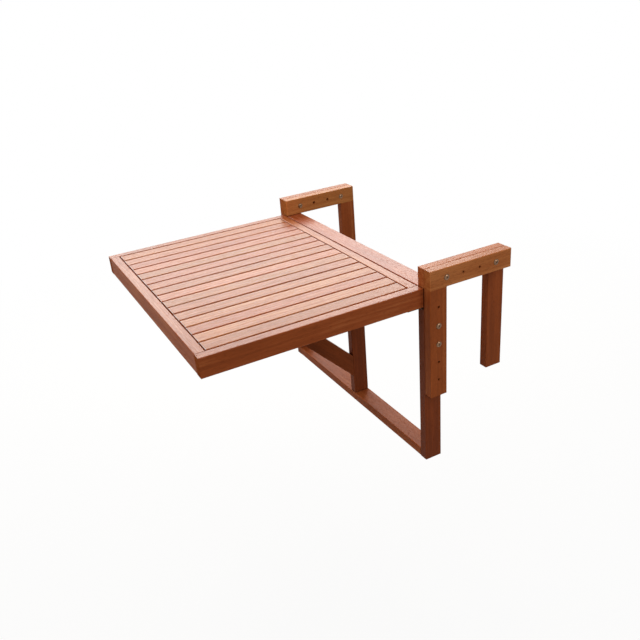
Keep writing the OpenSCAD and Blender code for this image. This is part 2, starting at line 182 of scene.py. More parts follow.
def oiledHardwood(name, look):
    made, tree = newMaterial(name)
    # what each board's mesh carries: its shade and hue, its ends, tops and eased edges, and its grain's axes
    carried = {}
    for key in ("boardTone", "boardHue", "endGrain", "arris", "upper"):
        carried[key] = addNode(tree, "ShaderNodeAttribute", {"attribute_name": key}).outputs["Fac"]
    place = addNode(tree, "ShaderNodeAttribute", {"attribute_name": "grainPlace"}).outputs["Vector"]
    place = addNode(tree, "ShaderNodeVectorMath", {"operation": "SCALE"}, {0: place, "Scale": 1 / mm})

    # the grain wanders sideways as it runs along the board
    wander = addNode(tree, "ShaderNodeVectorMath", {"operation": "DIVIDE"}, {0: place, 1: look["wanderSize"]})
    wander = addNode(tree, "ShaderNodeTexNoise", {}, {"Vector": wander, "Scale": 1.0, **look["wanderNoise"]})
    wander = addNode(tree, "ShaderNodeVectorMath", {"operation": "SUBTRACT"},
                     {0: wander.outputs["Color"], 1: (noiseMiddle,) * 3})
    grain = addNode(tree, "ShaderNodeVectorMath", {"operation": "MULTIPLY_ADD"},
                    {0: wander, 1: (0, look["wanderBy"], look["wanderBy"]), 2: place})

    # growth bands go round the pith; the other patterns are noise drawn out along the grain
    across = addNode(tree, "ShaderNodeVectorMath", {"operation": "MULTIPLY"}, {0: grain, 1: (0, 1, 1)})
    fromPith = addNode(tree, "ShaderNodeVectorMath", {"operation": "LENGTH"}, {0: across})
    ring = addNode(tree, "ShaderNodeMath", {"operation": "DIVIDE"}, {0: fromPith, 1: look["bandWidth"]})
    pattern = {"band": addNode(tree, "ShaderNodeTexNoise", {"noise_dimensions": "1D"},
                               {"W": ring, "Scale": 1.0, **look["bandNoise"]})}
    for key, start in (("streak", grain), ("ribbon", grain), ("blotch", place), ("pore", grain)):
        finer = addNode(tree, "ShaderNodeVectorMath", {"operation": "DIVIDE"},
                        {0: start, 1: look[key + "Size"]})
        pattern[key] = addNode(tree, "ShaderNodeTexNoise", {},
                               {"Vector": finer, "Scale": 1.0, **look[key + "Noise"]})
    pores = addNode(tree, "ShaderNodeMapRange", {},
                    {"Value": pattern["pore"], "From Min": look["poreFrom"], "From Max": look["poreTo"]})

    # their sum picks the colour; then come the board's own hue, its ends and edges, and the pores
    # the board's tone shifts the figure: random on the slats, and on the frame partly the board's own and
    # partly painted shade
    figure = addNode(tree, "ShaderNodeMath", {"operation": "MULTIPLY_ADD"},
                     {0: carried["boardTone"], 1: look["toneShare"], 2: 0.5})
    for key in ("band", "streak", "ribbon", "blotch"):
        off = addNode(tree, "ShaderNodeMath", {"operation": "SUBTRACT"}, {0: pattern[key], 1: noiseMiddle})
        figure = addNode(tree, "ShaderNodeMath", {"operation": "MULTIPLY_ADD"},
                         {0: off, 1: look[key + "Share"], 2: figure})
    colour = addNode(tree, "ShaderNodeValToRGB", {}, {"Fac": figure})
    stops = colour.color_ramp.elements
    stops[0].color = linear(look["deep"])
    stops[1].color = linear(look["glow"])
    stops.new(0.5).color = linear(look["body"])
    hue = addNode(tree, "ShaderNodeMath", {"operation": "MULTIPLY_ADD"},
                  {0: carried["boardHue"], 1: look["hueTurn"], 2: 0.5})
    # ends are darker by endShade, their grain's own tone; the slats' negative value paints their sawn ends
    # lighter, as painted light in the shaded end gaps
    shade = addNode(tree, "ShaderNodeMath", {"operation": "MULTIPLY_ADD"},
                    {0: carried["endGrain"], 1: -look["endShade"], 2: 1.0})
    # the eased edges are painted lighter: partly worn oil, partly painted sheen
    shade = addNode(tree, "ShaderNodeMath", {"operation": "MULTIPLY_ADD"},
                    {0: carried["arris"], 1: look["arrisLight"], 2: shade})
    colour = addNode(tree, "ShaderNodeHueSaturation", {}, {"Hue": hue, "Value": shade, "Color": colour})
    poreShare = addNode(tree, "ShaderNodeMath", {"operation": "MULTIPLY"}, {0: pores, 1: look["poreDepth"]})

    # painted shade: the colour darkens towards the pore colour where a neighbour stands close, such as round a
    # bolt's head and in the joints between boards
    openness = addNode(tree, "ShaderNodeAmbientOcclusion", {"samples": look["nookSamples"]},
                       {"Distance": look["nookReach"] * mm})
    dirt = addNode(tree, "ShaderNodeMath", {"operation": "MULTIPLY_ADD"},
                   {0: openness.outputs["AO"], 1: -look["nookShade"], 2: look["nookShade"]})
    for share in (poreShare, dirt):
        colour = addNode(tree, "ShaderNodeMix", {"data_type": "RGBA"},
                         {0: share, 6: colour, 7: linear(look["pore"])})

    # polished tops and duller sides; open pores and sawn ends are rougher, and the ends have no film
    rough = addNode(tree, "ShaderNodeMapRange", {}, {
        "Value": carried["upper"], "To Min": look["sideRoughness"], "To Max": look["upperRoughness"]})
    off = addNode(tree, "ShaderNodeMath", {"operation": "SUBTRACT"}, {0: pattern["streak"], 1: noiseMiddle})
    for part, share in ((off, look["roughnessPlay"]), (pores, look["poreRoughness"]),
                        (carried["endGrain"], look["endRoughness"])):
        rough = addNode(tree, "ShaderNodeMath", {"operation": "MULTIPLY_ADD"}, {0: part, 1: share, 2: rough})
    film = addNode(tree, "ShaderNodeMapRange", {}, {
        "Value": carried["upper"], "To Min": look["sideSpecular"], "To Max": look["upperSpecular"]})
    bare = addNode(tree, "ShaderNodeMath", {"operation": "SUBTRACT"}, {0: 1.0, 1: carried["endGrain"]})
    film = addNode(tree, "ShaderNodeMath", {"operation": "MULTIPLY"}, {0: film, 1: bare})
    height = addNode(tree, "ShaderNodeMath", {"operation": "MULTIPLY"},
                     {0: pattern["streak"], 1: look["streakRelief"]})
    height = addNode(tree, "ShaderNodeMath", {"operation": "MULTIPLY_ADD"},
                     {0: pores, 1: -look["poreRelief"], 2: height})
    bump = addNode(tree, "ShaderNodeBump", {},
                   {"Strength": look["reliefStrength"], "Distance": look["relief"] * mm, "Height": height})
    shader = addNode(tree, "ShaderNodeBsdfPrincipled", {}, {
        "Base Color": colour, "Roughness": rough, "Normal": bump, "Specular IOR Level": film})
    addNode(tree, "ShaderNodeOutputMaterial", {}, {"Surface": shader})
    return made


# Beech dowels, turned and unfinished: pale, with short brown flecks. Lengths in mm.
beechLook = {"body": "CBA676", "fleck": "A77F4F", "fleckSize": (2.2, 0.5, 0.5), "fleckNoise": {"Detail": 2.0},
             "roughness": 0.55, "relief": 0.1, "reliefStrength": 0.3}


def plainBeech(look):
    made, tree = newMaterial("plainBeech")
    place = addNode(tree, "ShaderNodeTexCoord").outputs["Object"]
    finer = addNode(tree, "ShaderNodeMapping", {"vector_type": "POINT"},
                    {"Vector": place, "Scale": tuple(1 / (s * mm) for s in look["fleckSize"])})
    flecks = addNode(tree, "ShaderNodeTexNoise", {}, {"Vector": finer, "Scale": 1.0, **look["fleckNoise"]})
    colour = addNode(tree, "ShaderNodeMix", {"data_type": "RGBA"},
                     {0: flecks, 6: linear(look["body"]), 7: linear(look["fleck"])})
    bump = addNode(tree, "ShaderNodeBump", {},
                   {"Strength": look["reliefStrength"], "Distance": look["relief"] * mm, "Height": flecks})
    shader = addNode(tree, "ShaderNodeBsdfPrincipled", {},
                     {"Base Color": colour, "Roughness": look["roughness"], "Normal": bump})
    addNode(tree, "ShaderNodeOutputMaterial", {}, {"Surface": shader})
    return made


# Zinc-plated steel of the bolts, nuts and screws: smooth and bright when new, here painted dull brown as
# painted reflection of the brown timber and dark surroundings, in clouds 2 mm across, darker in the sockets and
# under the rims (dirt and painted shade). Lengths in mm.
zincLook = {"name": "zincPlatedSteel", "light": "8F6F56", "dull": "5C4432", "dirt": "2E1F16",
            "patch": 2.2, "patchNoise": {"Detail": 3.0, "Roughness": 0.6},
            "scratch": (9.0, 0.35, 0.35), "scratchTurn": (0.5, 0.3, 0.9), "scratchNoise": {"Detail": 2.0},
            "scratchShare": 0.45, "wornFrom": 0.35, "wornTo": 0.65,
            "roughness": (0.12, 0.24), "dirtRoughness": 0.4, "relief": 0.02, "reliefStrength": 0.4}
# Bronzed steel of the hinges: dark brown plating, rubbed through to a lighter brown in places. Lengths in mm.
bronzeLook = dict(zincLook, name="bronzedSteel", light="6B4A35", dull="33231A", dirt="1A120D", patch=3.0,
                  scratch=(12.0, 0.5, 0.5), scratchShare=0.5, roughness=(0.34, 0.55), relief=0.05)


def platedSteel(look):
    made, tree = newMaterial(look["name"])
    place = addNode(tree, "ShaderNodeTexCoord").outputs["Object"]
    clouds = addNode(tree, "ShaderNodeTexNoise", {},
                     {"Vector": place, "Scale": 1 / (look["patch"] * mm), **look["patchNoise"]})
    finer = addNode(tree, "ShaderNodeMapping", {"vector_type": "POINT"}, {
        "Vector": place, "Rotation": look["scratchTurn"],
        "Scale": tuple(1 / (s * mm) for s in look["scratch"])})
    scratches = addNode(tree, "ShaderNodeTexNoise", {}, {"Vector": finer, "Scale": 1.0, **look["scratchNoise"]})
    both = addNode(tree, "ShaderNodeMix", {"data_type": "FLOAT"},
                   {0: look["scratchShare"], 2: clouds, 3: scratches})
    worn = addNode(tree, "ShaderNodeMapRange", {},
                   {"Value": both, "From Min": look["wornFrom"], "From Max": look["wornTo"]})
    # the mask read here darkens sockets, recesses and the parts under and round the rims: partly dirt, partly
    # painted shade
    dirt = addNode(tree, "ShaderNodeAttribute", {"attribute_name": "dirt"}).outputs["Fac"]
    # painted reflection: for the zinc, both plating colours are browned and darkened to stand for the brown
    # timber and dark surroundings that the metal reflects
    colour = addNode(tree, "ShaderNodeMix", {"data_type": "RGBA"},
                     {0: worn, 6: linear(look["dull"]), 7: linear(look["light"])})
    colour = addNode(tree, "ShaderNodeMix", {"data_type": "RGBA"},
                     {0: dirt, 6: colour, 7: linear(look["dirt"])})
    rough = addNode(tree, "ShaderNodeMapRange", {},
                    {"Value": worn, "To Min": look["roughness"][1], "To Max": look["roughness"][0]})
    rough = addNode(tree, "ShaderNodeMath", {"operation": "MULTIPLY_ADD"},
                    {0: dirt, 1: look["dirtRoughness"], 2: rough})
    bump = addNode(tree, "ShaderNodeBump", {},
                   {"Strength": look["reliefStrength"], "Distance": look["relief"] * mm, "Height": both})
    shader = addNode(tree, "ShaderNodeBsdfPrincipled", {},
                     {"Base Color": colour, "Metallic": 1.0, "Roughness": rough, "Normal": bump})
    addNode(tree, "ShaderNodeOutputMaterial", {}, {"Surface": shader})
    return made


timberMaterial = oiledHardwood("oiledEucalyptus", timberLook)
slatMaterial = oiledHardwood("oiledEucalyptusSlats", slatLookWithPaintedSheen)
beechMaterial = plainBeech(beechLook)
zincMaterial = platedSteel(zincLook)
bronzeMaterial = platedSteel(bronzeLook)
print("materials made")


# Boards. Ends and hole rims are eased by hand sanding; the long edges are already rounded in the CAD.
# Tops are polished up to topTilt from level: fully by hands and cloths on the table, less on the hooks' bars,
# and little below lowBelow. Lengths in mm, angles in degrees.
easedEdge = {"easeLevels": 2, "easeProfile": 0.5, "flatWithin": 0.4, "sharpFrom": 40, "smoothTo": 35,
             "faceWeight": 100}
boardShape = dict(
    easedEdge, ease=0.7, seed=11, shiftTo=4000, pithNear=22, pithFar=85,
    endFrom=0.8, squareFrom=0.9995, slantWithin=0.02, slantAside=0.01, wideFrom=60,
    topTilt=53, topPolish=1.0, barPolish=0.65, lowPolish=0.4, lowBelow=-300)
slatShape = dict(boardShape, topTilt=20)      # less of the slats' rounding is polished
# For each board: the way its grain runs, its wide side's way, its tone, partly its own and partly painted
# shade, and its hue
# the right leg, the gate's post and its brace are set darker as painted shade, for the shade low down and under
# the tabletop
boards = {
    "leg_left": ("z", "y", -1.2, 0.2), "leg_right": ("z", "y", -2.1, -0.3),
    "top_rail": ("x", "y", 0.3, -0.8), "bottom_rail": ("x", "y", -0.1, 0.1),
    "hook_board_left": ("z", "y", 0.2, 0.3), "hook_board_right": ("z", "y", -0.2, 0.2),
    "hook_bar_left": ("y", "z", 0.8, 0.5), "hook_bar_right": ("y", "z", 1.0, 0.5),
    "clamp_bar_left": ("y", "z", 1.2, 1.0), "clamp_bar_right": ("y", "z", 0.6, 0.0),
    "clamp_leg_left": ("z", "y", 0.0, 0.1), "clamp_leg_right": ("z", "y", -0.9, 0.0),
    "gate_post": ("z", "y", -2.1, -0.2), "gate_arm": ("y", "z", -0.5, 0.0),
    "gate_brace": ("slant", "x", -1.7, 0.0),
    "table_side_left": ("y", "z", 0.0, 0.1), "table_side_right": ("y", "z", 0.0, -0.1),
    "table_end_front": ("x", "z", 0.2, 0.0), "table_end_back": ("x", "z", 0.4, 0.1),
    "batten_front": ("x", "y", 0.0, 0.0), "batten_middle": ("x", "z", -0.2, 0.2),
    "batten_back": ("x", "y", 0.1, -0.1),
}
axes = {"x": Vector((1, 0, 0)), "y": Vector((0, 1, 0)), "z": Vector((0, 0, 1))}


def easeCorners(bm, shape):
    corners = [e for e in bm.edges if len(e.link_faces) == 2 and e.is_convex
               and e.calc_face_angle(0) > math.radians(shape["sharpFrom"])]
    bmesh.ops.bevel(bm, geom=corners, offset=shape["ease"] * mm, offset_type="OFFSET",
                    segments=shape["easeLevels"], profile=shape["easeProfile"], affect="EDGES",
                    clamp_overlap=True)
    bmesh.ops.recalc_face_normals(bm, faces=bm.faces)


def pieceName(nodeName):
    first, *rest = nodeName.split("_")
    return first + "".join(word.capitalize() for word in rest)


def easedCopy(nodeName, shape):
    bm = merged(nodeName)
    bmesh.ops.dissolve_limit(bm, angle_limit=math.radians(shape["flatWithin"]), verts=bm.verts,
                             edges=bm.edges)
    easeCorners(bm, shape)
    mesh = bpy.data.meshes.new(pieceName(nodeName))
    bm.to_mesh(mesh)
    bm.free()
    return newObject(mesh.name, mesh)


def smoothFinish(obj, shape):
    obj.data.shade_smooth()
    obj.data.set_sharp_from_angle(angle=math.radians(shape["smoothTo"]))
    weighted = obj.modifiers.new("weightedNormals", "WEIGHTED_NORMAL")
    weighted.keep_sharp = True
    weighted.weight = shape["faceWeight"]


def markFaces(mesh, along, shape, polish):
    # endGrain on faces square to the grain, upper on faces that look up, and arris on eased edges
    topFrom = math.cos(math.radians(shape["topTilt"]))
    ends = mesh.attributes.new("endGrain", "FLOAT", "FACE")
    upper = mesh.attributes.new("upper", "FLOAT", "FACE")
    rounded = mesh.attributes.new("arris", "FLOAT", "POINT")
    edgeWearAndSheen = [1.0] * len(mesh.vertices)
    for face in mesh.polygons:
        ends.data[face.index].value = 1.0 if abs(face.normal.dot(along)) > shape["endFrom"] else 0.0
        upper.data[face.index].value = polish if face.normal.z > topFrom else 0.0
        n = [abs(c) for c in face.normal]
        square = max(n) > shape["squareFrom"]
        slanted = abs(n[1] - n[2]) < shape["slantWithin"] and n[0] < shape["slantAside"]      # the brace's
        if (square or slanted) and face.area > shape["wideFrom"] * mm * mm:
            for v in face.vertices:
                edgeWearAndSheen[v] = 0.0
    rounded.data.foreach_set("value", edgeWearAndSheen)


def layGrain(mesh, along, wide, centre, pith, toneAndShade, hue, shift):
    # each board's own grain axes: along it, across its wide side and through it, from its tree's pith
    thick = along.cross(wide)
    places = []
    for v in mesh.vertices:
        p = v.co - centre
        places += [p.dot(along) + shift, p.dot(wide) - pith[0], p.dot(thick) - pith[1]]
    mesh.attributes.new("grainPlace", "FLOAT_VECTOR", "POINT").data.foreach_set("vector", places)
    for name, value in (("boardTone", toneAndShade), ("boardHue", hue)):
        layer = mesh.attributes.new(name, "FLOAT", "POINT")
        layer.data.foreach_set("value", [value] * len(mesh.vertices))


def dress(obj, material, body, replaced=()):
    # one piece's material and its place in the frame
    if material:
        obj.data.materials.append(material)
    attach(obj, body)
    if replaced:
        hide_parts(*replaced)


chance = random.Random(boardShape["seed"])
for nodeName, (alongName, wideName, toneAndShade, hue) in boards.items():
    low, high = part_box(nodeName)
    if alongName == "slant":
        along = Vector((0, low.y - high.y, high.z - low.z)).normalized()
        wide = Vector((0, along.z, -along.y))
    else:
        along, wide = axes[alongName], axes[wideName]
    angle = chance.uniform(0, 2 * math.pi)
    reach = chance.uniform(boardShape["pithNear"], boardShape["pithFar"]) * mm
    pith = (reach * math.cos(angle), reach * math.sin(angle))
    board = easedCopy(nodeName, boardShape)
    shift = chance.uniform(0, boardShape["shiftTo"]) * mm
    layGrain(board.data, along, wide, middle((low, high)), pith, toneAndShade, hue, shift)
    polish = "lowPolish" if high.z < boardShape["lowBelow"] * mm else "topPolish"
    if "_bar_" in nodeName:
        polish = "barPolish"
    markFaces(board.data, along, boardShape, boardShape[polish])
    smoothFinish(board, boardShape)
    dress(board, timberMaterial, cadNodes[nodeName]["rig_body"], [nodeName])
print("boards made:", len(boards))


# The slats, sized from the CAD nodes that they stand for
slatNames = sorted(n for n in cadNodes if n.startswith("slat_"))
firstSlat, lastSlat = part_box(slatNames[0]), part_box(slatNames[-1])
slatSize = firstSlat[1] - firstSlat[0]
slatField = {
    "Count": len(slatNames),
    "Pitch": (lastSlat[0].x - firstSlat[0].x) / (len(slatNames) - 1),
    "Width": slatSize.x,
    "Thickness": slatSize.z,
    "Length": slatSize.y,
    "Edge radius": 2.0 * mm,
    "Edge steps": 5,
    "First": Vector((middle(firstSlat).x, firstSlat[0].y, middle(firstSlat).z)),
    "Play": Vector((0.45, 0.35, 0.2)) * mm,      # how far a slat may sit off its place, downwards only in Z
    "Grain from": Vector((0.0, -0.07, 0.015)),      # where in its tree a slat was sawn from, at least
    "Grain to": Vector((5.0, 0.07, 0.08)),      # and at most
    "Seed": 4,
}


def newTree(name, inputs):
    # inputs as name and kind
    tree = bpy.data.node_groups.new(name, "GeometryNodeTree")
    for inputName, kind in inputs.items():
        tree.interface.new_socket(inputName, in_out="INPUT", socket_type="NodeSocket" + kind)
    tree.interface.new_socket("Geometry", in_out="OUTPUT", socket_type="NodeSocketGeometry")
    return tree, addNode(tree, "NodeGroupInput").outputs


def slatTree():
    tree, given = newTree("slatField", {
        "Geometry": "Geometry", "Count": "Int", "Pitch": "Float", "Width": "Float", "Thickness": "Float",
        "Length": "Float", "Edge radius": "Float", "Edge steps": "Int", "First": "Vector", "Play": "Vector",
        "Grain from": "Vector", "Grain to": "Vector", "Seed": "Int", "Material": "Material"})

    # one slat: a rounded section swept along +Y, with its grain along the slat
    section = addNode(tree, "GeometryNodeCurvePrimitiveQuadrilateral", {"mode": "RECTANGLE"},
                      {"Width": given["Width"], "Height": given["Thickness"]})
    section = addNode(tree, "GeometryNodeFilletCurve", {"mode": "POLY"},
                      {"Curve": section, "Count": given["Edge steps"], "Radius": given["Edge radius"]})
    end = addNode(tree, "ShaderNodeCombineXYZ", {}, {"Y": given["Length"]})
    path = addNode(tree, "GeometryNodeCurvePrimitiveLine", {"mode": "POINTS"}, {"End": end})
    slat = addNode(tree, "GeometryNodeCurveToMesh", {},
                   {"Curve": path, "Profile Curve": section, "Fill Caps": True})
    place = addNode(tree, "ShaderNodeSeparateXYZ", {}, {0: addNode(tree, "GeometryNodeInputPosition")}).outputs
    turned = addNode(tree, "ShaderNodeCombineXYZ", {}, {"X": place["Y"], "Y": place["X"], "Z": place["Z"]})
    slat = addNode(tree, "GeometryNodeStoreNamedAttribute", {"data_type": "FLOAT_VECTOR", "domain": "POINT"},
                   {"Geometry": slat, "Name": "grainPlace", "Value": turned})

    # a row of them
    step = addNode(tree, "ShaderNodeCombineXYZ", {}, {"X": given["Pitch"]})
    row = addNode(tree, "GeometryNodeMeshLine", {"mode": "OFFSET"},
                  {"Count": given["Count"], "Start Location": given["First"], "Offset": step})
    slats = addNode(tree, "GeometryNodeInstanceOnPoints", {}, {"Points": row, "Instance": slat})

    # each with its own piece of grain, shade, hue and small offset
    lowest = addNode(tree, "ShaderNodeVectorMath", {"operation": "MULTIPLY"},
                     {0: given["Play"], 1: (-1, -1, -1)})
    highest = addNode(tree, "ShaderNodeVectorMath", {"operation": "MULTIPLY"},
                      {0: given["Play"], 1: (1, 1, 0)})
    for seedStep, (key, low, high) in enumerate((
            ("grainShift", given["Grain from"], given["Grain to"]), ("boardTone", -1.0, 1.0),
            ("boardHue", -1.0, 1.0), ("offset", lowest, highest)), start=1):
        kind, at = ("FLOAT", 2) if isinstance(low, float) else ("FLOAT_VECTOR", 0)
        seed = addNode(tree, "FunctionNodeIntegerMath", {"operation": "ADD"},
                       {0: given["Seed"], 1: seedStep})
        drawn = addNode(tree, "FunctionNodeRandomValue", {"data_type": kind},
                        {at: low, at + 1: high, "Seed": seed})
        if key == "offset":
            slats = addNode(tree, "GeometryNodeTranslateInstances", {},
                            {"Instances": slats, "Translation": drawn})
        else:
            slats = addNode(tree, "GeometryNodeStoreNamedAttribute", {"data_type": kind, "domain": "INSTANCE"},
                            {"Geometry": slats, "Name": key, "Value": drawn})
    slats = addNode(tree, "GeometryNodeRealizeInstances", {}, {"Geometry": slats})
    own, shift = (addNode(tree, "GeometryNodeInputNamedAttribute", {"data_type": "FLOAT_VECTOR"}, {"Name": key})
                  for key in ("grainPlace", "grainShift"))
    moved = addNode(tree, "ShaderNodeVectorMath", {"operation": "ADD"}, {0: own, 1: shift})
    slats = addNode(tree, "GeometryNodeStoreNamedAttribute", {"data_type": "FLOAT_VECTOR", "domain": "POINT"},
                    {"Geometry": slats, "Name": "grainPlace", "Value": moved})
    slats = addNode(tree, "GeometryNodeSetMaterial", {}, {"Geometry": slats, "Material": given["Material"]})
    addNode(tree, "NodeGroupOutput", {}, {0: slats})
    return tree


slats = newObject("slats", bpy.data.meshes.new("slats"))
slatModifier = slats.modifiers.new("slatField", "NODES")
slatModifier.node_group = slatTree()
setModifierInputs(slatModifier, {**slatField, "Material": slatMaterial})
freeze(slats)
bm = bmesh.new()
bm.from_mesh(slats.data)
easeCorners(bm, slatShape)
bm.to_mesh(slats.data)
bm.free()
markFaces(slats.data, axes["y"], slatShape, slatShape["topPolish"])
smoothFinish(slats, slatShape)
dress(slats, None, "table", slatNames)
print("slats made:", slatField["Count"], "at", round(slatField["Pitch"] / mm, 2), "mm")


# Fasteners. Their shapes are turned: loops of points from the low end to the top, in mm.
turnedSides = 48
turnedSmoothTo = 32      # degrees
nearZero = 1e-6


def hexRadius(angle, acrossFlats):
    third = math.pi / 3
    return acrossFlats / 2 / math.cos((angle + third / 2) % third - third / 2)


def crossRadius(angle, armLength, armWidth):
    # a rounded four-armed recess
    quarter = math.pi / 2
    off = abs((angle + quarter / 2) % quarter - quarter / 2)
    return min(armLength, armWidth / 2 / max(math.sin(off), nearZero))


def turnedObject(name, loops):
    # a loop is its height, its radius or a function of the angle that gives it, and how dark it is painted
    # there: partly dirt, partly painted shade
    bm = bmesh.new()
    shadeAndDirtLayer = bm.verts.layers.float.new("dirt")
    rings = []
    for height, radius, *dirt in loops:
        ring = []
        for i in range(turnedSides):
            angle = 2 * math.pi * i / turnedSides
            r = radius(angle) if callable(radius) else radius
            v = bm.verts.new((r * mm * math.cos(angle), r * mm * math.sin(angle), height * mm))
            v[shadeAndDirtLayer] = dirt[0] if dirt else 0.0
            ring.append(v)
        rings.append(ring)
    for lower, upper in zip(rings, rings[1:]):
        for i in range(turnedSides):
            j = (i + 1) % turnedSides
            bm.faces.new((lower[i], lower[j], upper[j], upper[i]))
    bm.faces.new(reversed(rings[0]))
    bm.faces.new(rings[-1])
    bmesh.ops.recalc_face_normals(bm, faces=bm.faces)
    mesh = bpy.data.meshes.new(name)
    bm.to_mesh(mesh)
    bm.free()
    return bpy.data.objects.new(name, mesh)


# Furniture bolt M6 with a domed head and a hexagon socket, and its sleeve nut. Lengths in mm; darkening from 0
# to 1, partly dirt, partly painted shade.
headShape = {
    "headRadius": 7.5, "underEase": 0.25, "underRise": 0.2, "lipEase": 0.15,
    "domeInset": 0.12, "domeSteps": 7, "land": 3.5, "landRise": 0.02,
    "socket": 5.0, "mouthEase": 0.25, "drillRadius": 1.2, "drillDepth": 0.35,
    "underShadeAndDirt": 1.0, "lipShadeAndDirt": 0.4, "domeShadeAndDirt": 0.3, "wallShadeAndDirt": 0.3, "floorShadeAndDirt": 0.5,
}
boltShape = dict(headShape, headHeight=2.8, lip=0.7, socketFloor=0.9,
                 shankRadius=3.0, shankLength=47.0, tipEase=0.6)
nutShape = dict(headShape, headHeight=2.24, lip=0.6, socketFloor=0.7,
                sleeveRadius=4.2, sleeveLength=12.0, sleeveEase=0.2,
                boreRadius=3.1, boreFrom=2.0, boreEase=0.3, boreEaseDepth=0.4)


def headLoops(s, stemRadius):
    # out under the head, round its lip, over a shallow dome and down into the hexagon socket
    outer, shadedAndDirty = s["headRadius"], s["underShadeAndDirt"]
    loops = [(0, stemRadius, shadedAndDirty), (0, outer - s["underEase"], shadedAndDirty), (s["underRise"], outer, shadedAndDirty),
             (s["lip"] - s["lipEase"], outer, s["lipShadeAndDirt"])]
    rim = outer - s["domeInset"]
    rise = s["headHeight"] - s["lip"]
    domeRadius = (rim ** 2 + rise ** 2) / (2 * rise)
    for i in range(s["domeSteps"] + 1):
        r = rim - (rim - s["land"]) * i / s["domeSteps"]
        height = s["headHeight"] - domeRadius + math.sqrt(domeRadius ** 2 - r ** 2)
        loops.append((height, r, 0.0 if i else s["domeShadeAndDirt"]))
    top = height + s["landRise"]

    def mouth(angle):
        return hexRadius(angle, s["socket"] + 2 * s["mouthEase"])

    def wall(angle):
        return hexRadius(angle, s["socket"])

    return loops + [
        (top, mouth), (top - s["mouthEase"], wall, s["wallShadeAndDirt"]), (s["socketFloor"], wall, s["floorShadeAndDirt"]),
        (s["socketFloor"] - s["drillDepth"], s["drillRadius"], s["wallShadeAndDirt"])]


def boltObject(s):
    return turnedObject("boltShape", [
        (-s["shankLength"], s["shankRadius"] - s["tipEase"]),
        (s["tipEase"] - s["shankLength"], s["shankRadius"]), *headLoops(s, s["shankRadius"])])


def nutObject(s):
    foot = -s["sleeveLength"]
    return turnedObject("nutShape", [
        (-s["boreFrom"], s["boreRadius"]), (foot + s["boreEaseDepth"], s["boreRadius"]),
        (foot, s["boreRadius"] + s["boreEase"]), (foot, s["sleeveRadius"] - s["sleeveEase"]),
        (foot + s["sleeveEase"], s["sleeveRadius"]), *headLoops(s, s["sleeveRadius"])])


# Wood screws with cross recesses: countersunk in the hinges, pan heads under the battens. Lengths in mm,
# darkening from 0 to 1, partly dirt and partly painted shade. A head's crown is pairs: a height, and how far
# the edge draws in there from the head's radius.
screwShape = {"tipRadius": 0.3, "tipTaper": 2, "recessTaper": 0.85, "recessFloor": 0.35, "recessShadeAndDirt": 1.0}
hingeScrewShape = dict(
    screwShape, length=16.0, shankRadius=1.7, headFoot=-2.0, headTop=0.0, headRadius=3.3,
    crown=((-0.15, 0.0), (-0.02, 0.05), (0.0, 0.25)),
    armLength=2.0, armWidth=0.9, recess=1.3, recessMargin=0.35, recessDip=0.02)
battenScrewShape = dict(
    screwShape, length=28.0, shankRadius=1.9, headFoot=0.0, headTop=2.1, headRadius=3.6,
    crown=((0.0, 0.15), (0.15, 0.0), (1.155, 0.1), (1.722, 0.45), (2.037, 1.0)),
    armLength=2.3, armWidth=1.0, recess=1.4, recessMargin=0.3, recessDip=0.03)


def screwObject(name, s):
    def cross(angle):
        return crossRadius(angle, s["armLength"], s["armWidth"])

    def narrowCross(angle):
        return cross(angle) * s["recessTaper"]

    tip = -s["length"]
    mouth = s["headTop"] - s["recessDip"]
    return turnedObject(name, [
        (tip, s["tipRadius"]), (tip + s["shankRadius"] * s["tipTaper"], s["shankRadius"]),
        (s["headFoot"], s["shankRadius"]),
        *((height, s["headRadius"] - inset) for height, inset in s["crown"]),
        (s["headTop"], s["armLength"] + s["recessMargin"]), (mouth, cross),
        (mouth - s["recess"] / 2, narrowCross, s["recessShadeAndDirt"]),
        (mouth - s["recess"], s["recessFloor"], s["recessShadeAndDirt"])])


def fastenerTree():
    tree, given = newTree("fastenersOnPoints", {
        "Geometry": "Geometry", "Fastener": "Object", "Largest turn": "Float", "Seed": "Int",
        "Material": "Material"})
    points = addNode(tree, "GeometryNodeMeshToPoints", {}, {"Mesh": given["Geometry"]})
    fastener = addNode(tree, "GeometryNodeObjectInfo", {}, {"Object": given["Fastener"]}).outputs["Geometry"]
    facing = addNode(tree, "GeometryNodeInputNamedAttribute", {"data_type": "FLOAT_VECTOR"}, {"Name": "facing"})
    facing = addNode(tree, "FunctionNodeEulerToRotation", {}, {0: facing})
    placed = addNode(tree, "GeometryNodeInstanceOnPoints", {},
                     {"Points": points, "Instance": fastener, "Rotation": facing})
    turn = addNode(tree, "FunctionNodeRandomValue", {"data_type": "FLOAT"},
                   {2: 0.0, 3: given["Largest turn"], "Seed": given["Seed"]})
    turn = addNode(tree, "ShaderNodeCombineXYZ", {}, {"Z": turn})
    spin = addNode(tree, "FunctionNodeEulerToRotation", {}, {0: turn})
    placed = addNode(tree, "GeometryNodeRotateInstances", {},
                     {"Instances": placed, "Rotation": spin, "Local Space": True})
    placed = addNode(tree, "GeometryNodeRealizeInstances", {}, {"Geometry": placed})
    placed = addNode(tree, "GeometryNodeSetMaterial", {}, {"Geometry": placed, "Material": given["Material"]})
    addNode(tree, "NodeGroupOutput", {}, {0: placed})
    return tree


fasteners = fastenerTree()


